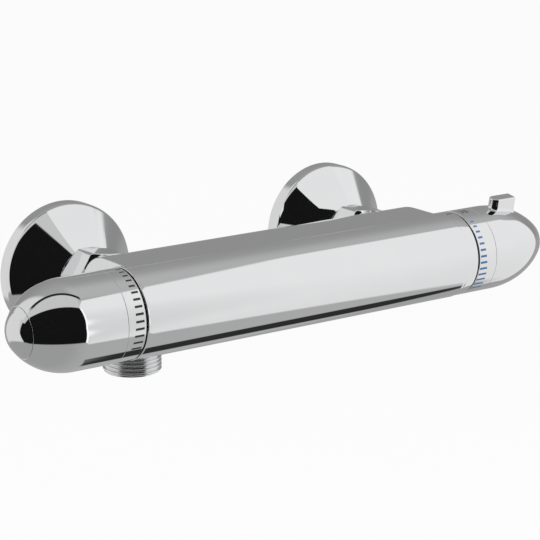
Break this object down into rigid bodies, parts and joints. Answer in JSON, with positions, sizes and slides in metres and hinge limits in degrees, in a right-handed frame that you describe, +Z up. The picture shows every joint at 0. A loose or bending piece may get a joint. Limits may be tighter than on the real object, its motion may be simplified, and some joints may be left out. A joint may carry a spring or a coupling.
{
  "type": "thermostatic shower bar valve",
  "caption": "Exposed thermostatic shower bar valve: wall inlets with union nuts and flanges, a turning flow handle, a temperature handle with a fin, and a threaded outlet below.",
  "frame": {"origin": "in the wall plane, midway between the axes of the two wall inlets", "axes": "+X along the bar towards the temperature handle, +Y into the wall along the inlets, +Z up"},
  "size_m": [0.2927, 0.1175, 0.065],
  "materials": {
    "chrome": "polished",
    "brass": "machined",
    "steel": "drawn",
    "rubber": "matte",
    "plastic": "moulded",
    "ceramic": "ground",
    "copper": "machined"
  },
  "bodies": {
    "valve": {"body_casting": "chrome", "outlet_nipple": "chrome", "left_inlet_tail": "brass", "right_inlet_tail": "brass", "left_wall_connector": "chrome", "right_wall_connector": "chrome", "left_wall_flange": "chrome", "right_wall_flange": "chrome", "inlet_washers": "rubber", "left_check_housing": "plastic", "right_check_housing": "plastic", "left_check_spring": "steel", "right_check_spring": "steel", "flow_housing": "brass", "flow_retaining_nut": "brass", "flow_disc_seal": "rubber", "flow_fixed_disc": "ceramic", "flow_stop_ring": "plastic", "thermostat_sleeve": "brass", "thermostat_bonnet": "brass", "thermostat_retaining_nut": "brass", "cold_seat_ring": "brass", "bonnet_snap_ring": "steel", "return_spring": "steel", "temperature_stop_ring": "plastic", "cartridge_seals": "rubber"},
    "flow_control": {"flow_moving_disc": "ceramic", "flow_spindle": "brass", "flow_snap_ring": "steel", "flow_spline_insert": "brass", "flow_handle_screw": "steel", "flow_scale_ring": "chrome", "flow_handle": "chrome", "flow_end_cap": "chrome"},
    "temperature_control": {"temperature_spindle": "brass", "spindle_seal": "rubber", "temperature_spline_insert": "brass", "temperature_handle_screw": "steel", "temperature_scale_ring": "chrome", "temperature_handle": "chrome", "temperature_end_cap": "chrome"},
    "regulator": {"regulating_nut": "brass", "overload_cup": "brass", "overload_spring": "steel", "wax_pin": "steel"},
    "mixer": {"wax_element": "copper", "shuttle": "plastic", "shuttle_seal": "rubber"},
    "left_nut": {"left_union_nut": "chrome"},
    "right_nut": {"right_union_nut": "chrome"},
    "left_poppet": {"left_check_poppet": "plastic"},
    "right_poppet": {"right_check_poppet": "plastic"}
  },
  "joints": [
    {"name": "flow_turn", "type": "hinge", "parent": "valve", "child": "flow_control", "pos_m": [-0.1, -0.0825, 0], "axis": [1, 0, 0], "range_deg": [-90, 0]},
    {"name": "temperature_turn", "type": "hinge", "parent": "valve", "child": "temperature_control", "pos_m": [0.1, -0.0825, 0], "axis": [1, 0, 0], "range_deg": [-130, 60]},
    {"name": "regulating_slide", "type": "slide", "parent": "valve", "child": "regulator", "axis": [1, 0, 0], "range_m": [-0.00206, 0.00096]},
    {"name": "mixing_slide", "type": "slide", "parent": "valve", "child": "mixer", "axis": [1, 0, 0], "range_m": [-0.00051, 0.00024], "deforming": ["return_spring"]},
    {"name": "left_nut_swivel", "type": "hinge", "parent": "valve", "child": "left_nut", "pos_m": [-0.075, -0.0325, 0], "axis": [0, 1, 0], "continuous": true},
    {"name": "left_check_lift", "type": "slide", "parent": "valve", "child": "left_poppet", "axis": [0, -1, 0], "range_m": [0, 0.003], "stiffness_N_per_m": 30, "springref_m": -0.004, "deforming": ["left_check_spring"]},
    {"name": "right_nut_swivel", "type": "hinge", "parent": "valve", "child": "right_nut", "pos_m": [0.075, -0.0325, 0], "axis": [0, 1, 0], "continuous": true},
    {"name": "right_check_lift", "type": "slide", "parent": "valve", "child": "right_poppet", "axis": [0, -1, 0], "range_m": [0, 0.003], "stiffness_N_per_m": 30, "springref_m": -0.004, "deforming": ["right_check_spring"]}
  ],
  "couplings": [
    {"joint": "regulating_slide", "follows": "temperature_turn", "m_per_rad": 0.00090718},
    {"joint": "mixing_slide", "follows": "temperature_turn", "m_per_rad": 0.00022037}
  ]
}
